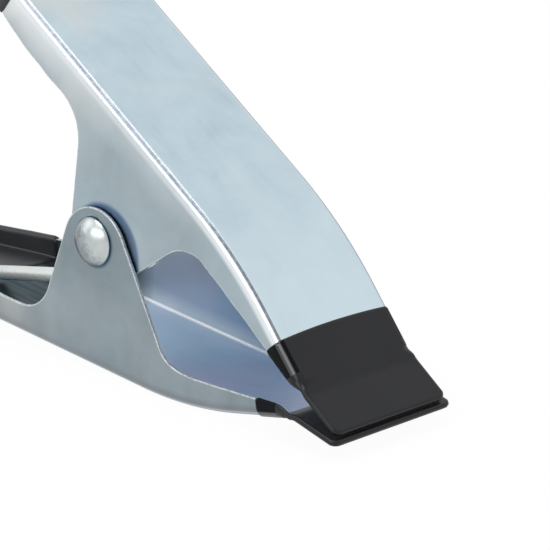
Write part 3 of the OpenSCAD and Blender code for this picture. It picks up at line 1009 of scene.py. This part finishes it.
def zinc_gloss(n, v):
    """Metallic, roughness and bump: the inside is duller, and the edges are rougher."""
    metal = n.math("MAXIMUM", n.span(v.inside, 0.3, 0.9, 1.0, 0.6),
                   n.span(v.along, -14.0, -20.0))
    n.give("Metallic", metal)
    rough = n.span(v.cloud, 0.3, 0.7, 0.30, 0.38)
    rough = n.plus(rough, n.span(v.inside, 0.3, 0.9, 0.0, 0.08))
    n.give("Roughness", n.plus(rough, n.times(v.edge, 0.12)))
    lumps = n.plus(n.times(v.streak, 0.4), n.times(v.grain, 0.5))
    n.bump(n.plus(lumps, n.times(v.cloud, 1.5)), 0.25, 0.00006)


def zinc_material(name, wall_shade, fold_painted_light, mark):
    """Bluish zinc plate on rolled sheet, with a painted shadow round the joint, painted shade and
    highlights on the walls and folds, and bright sheared edges.
    """
    n = Nodes(name)
    v = zinc_values(n)
    # painted shadow of the part lying over the wall at the joint
    outside = painted_shadow_mark(n, zinc_outside(n, v, wall_shade, fold_painted_light), *mark)
    both = n.mix(v.inside, outside, zinc_inside(n, v))
    streaked = n.mix(n.span(v.streak, 0.35, 0.75, 0.0, 0.10), both, STREAK)
    sheared = n.ramp(v.grain, EDGE_STOPS)
    n.give("Base Color", n.mix(n.times(v.edge, 0.8), streaked, sheared))
    zinc_gloss(n, v)
    return n.material


def from_pivot(n):
    """How far a point lies ahead of the pivot and above it, in metres."""
    where = n.add("ShaderNodeTexCoord")
    parts = n.add("ShaderNodeSeparateXYZ")
    n.link(where.outputs["Object"], parts.inputs["Vector"])
    ahead = n.math("SUBTRACT", parts.outputs["X"], PIVOT[0] * MM)
    up = n.math("SUBTRACT", parts.outputs["Z"], PIVOT[1] * MM)
    return ahead, up


def painted_shadow_mark(n, colour, at, radius, fade, outer, inner):
    """A dark blue round painted shadow on the walls, showing past the part that rubs there."""
    ahead, up = from_pivot(n)
    ahead = n.math("SUBTRACT", ahead, at[0] * MM)
    up = n.math("SUBTRACT", up, at[1] * MM)
    reach = n.math("SQRT", n.plus(n.times(ahead, ahead), n.times(up, up)), 0.0)
    covered = n.span(reach, (radius + fade / 2) * MM, (radius - fade / 2) * MM, 0.0, 0.94)
    deep = n.span(reach, (radius - 0.1) * MM, (radius - 2.4 * fade) * MM)
    on_wall = n.span(n.mask("wall"), 1.0, 3.0)
    return n.mix(n.times(covered, on_wall), colour, n.mix(deep, outer, inner))


def rivet_material():
    """Bright plated rivet, painted darker at its lower left as shade and lighter at its upper right
    as a highlight, with soft dents from forming.
    """
    n = Nodes("rivet_steel_bright")
    n.give("Metallic", 1.0)
    plain = n.coordinates((1, 1, 1))
    dent = n.noise(plain, 330.0, 2.0, 0.5, 0.3)
    ripple = n.noise(plain, 900.0, 3.0, 0.6, 0.5)
    grain = n.noise(plain, 1800.0, 2.0, 0.6)
    # painted light: the lower-left colour is painted shade, the upper-right one a painted highlight,
    # blended across the head
    dull = n.ramp(dent, ((0.3, (0.20, 0.22, 0.24)), (0.7, (0.30, 0.33, 0.35))))
    painted_lit_side = n.ramp(dent, ((0.3, (0.44, 0.49, 0.50)), (0.7, (0.58, 0.62, 0.61))))
    ahead, up = from_pivot(n)
    across = n.plus(n.times(ahead, 0.8), n.times(up, 0.5))
    across = n.plus(across, n.span(ripple, 0.3, 0.7, -0.0009, 0.0009))
    n.give("Base Color", n.mix(n.span(across, -0.0008, 0.0014), dull, painted_lit_side))
    n.give("Roughness", n.span(dent, 0.3, 0.7, 0.24, 0.34))
    n.bump(n.plus(dent, n.times(grain, 0.12)), 0.3, 0.00010)
    return n.material


def wire_material():
    """Plated spring wire with the fine marks of drawing."""
    n = Nodes("spring_wire_plated")
    n.give("Metallic", 0.6)
    cloud = n.noise(n.coordinates((1, 1, 1)), 140.0, 3.0, 0.6)
    mark = n.noise(n.coordinates((0.4, 5.0, 5.0)), 420.0, 3.0, 0.7)
    tone = n.ramp(cloud, ((0.3, (0.68, 0.72, 0.71)), (0.7, (0.80, 0.82, 0.79))))
    n.give("Base Color", tone)
    n.give("Roughness", n.span(mark, 0.3, 0.7, 0.26, 0.42))
    n.bump(mark, 0.35, 0.00006)
    return n.material


def vinyl_material(name, shine, tone=0.005):
    """Black dipped vinyl: satin, with a slight orange peel and duller patches."""
    n = Nodes(name)
    plain = n.coordinates((1, 1, 1))
    peel = n.noise(plain, 420.0, 3.0, 0.55)
    fine = n.noise(plain, 2600.0, 2.0, 0.6)
    cloud = n.noise(plain, 60.0, 3.0, 0.55)
    darker = (0.7 * tone, 0.8 * tone, 1.1 * tone)
    lighter = (1.3 * tone, 1.4 * tone, 1.7 * tone)
    n.give("Base Color", n.ramp(cloud, ((0.3, darker), (0.7, lighter))))
    curved = n.times(n.span(n.mask("fold"), 0.0, 0.2), n.span(n.mask("wall"), 0.8, 0.0))
    rough = n.span(cloud, 0.3, 0.7, 0.28, 0.38)
    n.give("Roughness", n.math("SUBTRACT", rough, n.times(curved, 0.12)))
    n.give("Specular IOR Level", shine)
    n.bump(n.plus(peel, n.times(fine, 0.35)), 0.3, 0.00010)
    return n.material


def dress(piece, material, bands=()):
    """Gives a piece its material, and bands round its fold their own, each from how far
    through the fold it starts. The bands end where the side walls run out."""
    mesh = piece.data
    mesh.materials.clear()
    mesh.materials.append(material)
    if not bands:
        return
    turns = np.zeros(len(mesh.vertices))
    along = np.zeros(len(mesh.vertices))
    mesh.attributes["fold"].data.foreach_get("value", turns)
    mesh.attributes["along"].data.foreach_get("value", along)
    for _, band in bands:
        mesh.materials.append(band)
    for face in mesh.polygons:
        least = min(turns[v] for v in face.vertices)
        if max(along[v] for v in face.vertices) < BAND_END:
            face.material_index = sum(least > start for start, _ in bands)


# ---- Studio -----------------------------------------------------------------

CAMERA_AT = (499.825, -452.721, 241.439)
CAMERA_RIGHT = (0.705082, 0.709042, 0.010918)
CAMERA_UP = (-0.234820, 0.218925, 0.947065)
LENS = 235.41
SENSOR = 36.0
# Lamps: name, place, what they aim at, size and power.
LAMPS = (
    ("overhead_soft", (0.0, -0.15, 0.80), (0, 0, 0), (0.5, 0.5), 2.2),
    ("left_soft", (-0.6, -0.45, 0.45), (0, 0, 0.03), (0.5, 0.6), 0.8),
    ("front_soft", (0.15, -0.85, 0.50), (0, 0, 0.03), (0.9, 0.40), 2.2),
)
# The world from straight down (0) to straight up (1): place and grey, a little blue.
WORLD_GREYS = ((0.0, 0.25), (0.485, 0.25), (0.50, 0.85), (0.58, 0.85), (0.66, 0.75),
               (0.78, 0.90), (0.90, 0.90), (0.96, 0.70), (1.0, 0.65))
WORLD_BLUE = 1.01
FLOOR_HALF = 1.5
FLOOR_DROP = 0.0002  # the floor lies this far below the clamp
FLOOR_WHITE = 0.96   # share of plain white that the floor shows; the rest takes the shadow


def make_camera():
    data = bpy.data.cameras.new("photo_camera")
    data.lens = LENS
    data.sensor_width = SENSOR
    data.sensor_fit = "HORIZONTAL"
    data.clip_start = 0.01
    camera = add_to_scene("photo_camera", data)
    right = Vector(CAMERA_RIGHT).normalized()
    up = Vector(CAMERA_UP)
    up = (up - up.dot(right) * right).normalized()
    back = right.cross(up)
    turn = Matrix((right, up, back)).transposed()
    camera.matrix_world = Matrix.Translation(Vector(CAMERA_AT) * MM) @ turn.to_4x4()
    bpy.context.scene.camera = camera


def area_light(name, at, aim, size, power):
    data = bpy.data.lights.new(name, "AREA")
    data.shape = "RECTANGLE"
    data.size, data.size_y = size
    data.energy = power
    light = add_to_scene(name, data)
    light.location = at
    light.rotation_euler = (Vector(aim) - Vector(at)).to_track_quat("-Z", "Y").to_euler()


def make_world():
    """A grey room, lighter above the horizon."""
    world = bpy.data.worlds.new("studio")
    bpy.context.scene.world = world
    world.use_nodes = True
    tree = world.node_tree
    background = tree.nodes["Background"]
    where = tree.nodes.new("ShaderNodeTexCoord")
    parts = tree.nodes.new("ShaderNodeSeparateXYZ")
    ramp = tree.nodes.new("ShaderNodeValToRGB")
    rise = tree.nodes.new("ShaderNodeMapRange")
    rise.inputs["From Min"].default_value = -1.0
    rise.inputs["From Max"].default_value = 1.0
    tree.links.new(where.outputs["Generated"], parts.inputs["Vector"])
    tree.links.new(parts.outputs["Z"], rise.inputs["Value"])
    tree.links.new(rise.outputs["Result"], ramp.inputs["Fac"])
    set_stops(ramp, [(place, (grey, grey, grey * WORLD_BLUE)) for place, grey in WORLD_GREYS])
    tree.links.new(ramp.outputs["Color"], background.inputs["Color"])
    background.inputs["Strength"].default_value = 1.0


def make_floor():
    """A plain white floor that keeps the clamp's soft shadow."""
    verts = [(x * FLOOR_HALF, y * FLOOR_HALF, -FLOOR_DROP)
             for x, y in ((-1, -1), (1, -1), (1, 1), (-1, 1))]
    floor = new_object("studio_floor", verts, [(0, 1, 2, 3)])
    n = Nodes("studio_floor_white")
    n.give("Base Color", (0.86, 0.86, 0.86))
    n.give("Roughness", 0.9)
    speck = n.noise(n.coordinates((1, 1, 1)), 300.0)
    n.bump(speck, 0.02, 0.0001)
    white = n.add("ShaderNodeEmission")
    path = n.add("ShaderNodeLightPath")
    blend = n.add("ShaderNodeMixShader")
    seen = n.math("MAXIMUM", path.outputs["Is Camera Ray"], path.outputs["Is Glossy Ray"])
    seen = n.math("MAXIMUM", seen, path.outputs["Is Transmission Ray"])
    n.link(n.times(seen, FLOOR_WHITE), blend.inputs[0])
    n.link(n.shader.outputs[0], blend.inputs[1])
    n.link(white.outputs[0], blend.inputs[2])
    n.link(blend.outputs[0], n.tree.nodes["Material Output"].inputs["Surface"])
    dress(floor, n.material)


# ---- Scene ------------------------------------------------------------------


def main():
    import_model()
    lower = Arm(-1, LOWER_W, (LOWER_LEAN, -TOUCH_DROP, LOWER_EXTRA), LOWER_WALL, LOWER_CAP_START)
    upper = Arm(1, UPPER_W, (UPPER_LEAN, TOUCH_DROP, 0.0), UPPER_WALL, UPPER_CAP_START)
    lower_zinc = zinc_material("zinc_sheet_lower", LOWER_WALL_PAINTED_SHADE, LOWER_FOLD_PAINTED_SHADE, HEAD_PAINTED_SHADOW)
    upper_zinc = zinc_material("zinc_sheet_upper", UPPER_WALL_PAINTED_SHADE, UPPER_FOLD_PAINTED_HIGHLIGHT, EAR_PAINTED_SHADOW)
    bright = rivet_material()
    wire = wire_material()
    vinyl = vinyl_material("black_vinyl_jaws", 0.34)
    dull = vinyl_material("black_vinyl_sides", 0.06)
    gloss = vinyl_material("black_vinyl_folds", 0.95)
    bands = ((0.02, dull), (0.40, gloss), (0.80, dull))
    satin = vinyl_material("black_vinyl_handles", 0.50, 0.012)

    made = [
        (steel_arm("lower_arm_pressed", lower), "lower_half", "lower_arm", "zinc_sheet", lower_zinc),
        (steel_arm("upper_arm_pressed", upper), "upper_half", "upper_arm", "zinc_sheet", upper_zinc),
        (jaw_coat("lower_jaw_dip", lower), "lower_half", "lower_jaw_cap", "black_vinyl", vinyl),
        (jaw_coat("upper_jaw_dip", upper), "upper_half", "upper_jaw_cap", "black_vinyl", vinyl),
        (handle_coat("lower_handle_dip", lower), "lower_half", "lower_grip", "black_vinyl", satin),
        (handle_coat("upper_handle_dip", upper), "upper_half", "upper_grip", "black_vinyl", satin),
        (make_rivet(), "lower_half", "rivet", "rivet_steel", bright),
    ]
    for piece, body, node, slot, material in made:
        dress(piece, material, bands if material == vinyl else ())
        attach(piece, body)
        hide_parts(node)

    spring = make_spring()
    dress(spring, wire)
    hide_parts("torsion_spring")
    turn = rad(LIE + HALF)
    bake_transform(spring)

    make_camera()
    for lamp in LAMPS:
        area_light(*lamp)
    make_world()
    make_floor()
    bpy.context.scene.view_settings.view_transform = "Standard"


main()
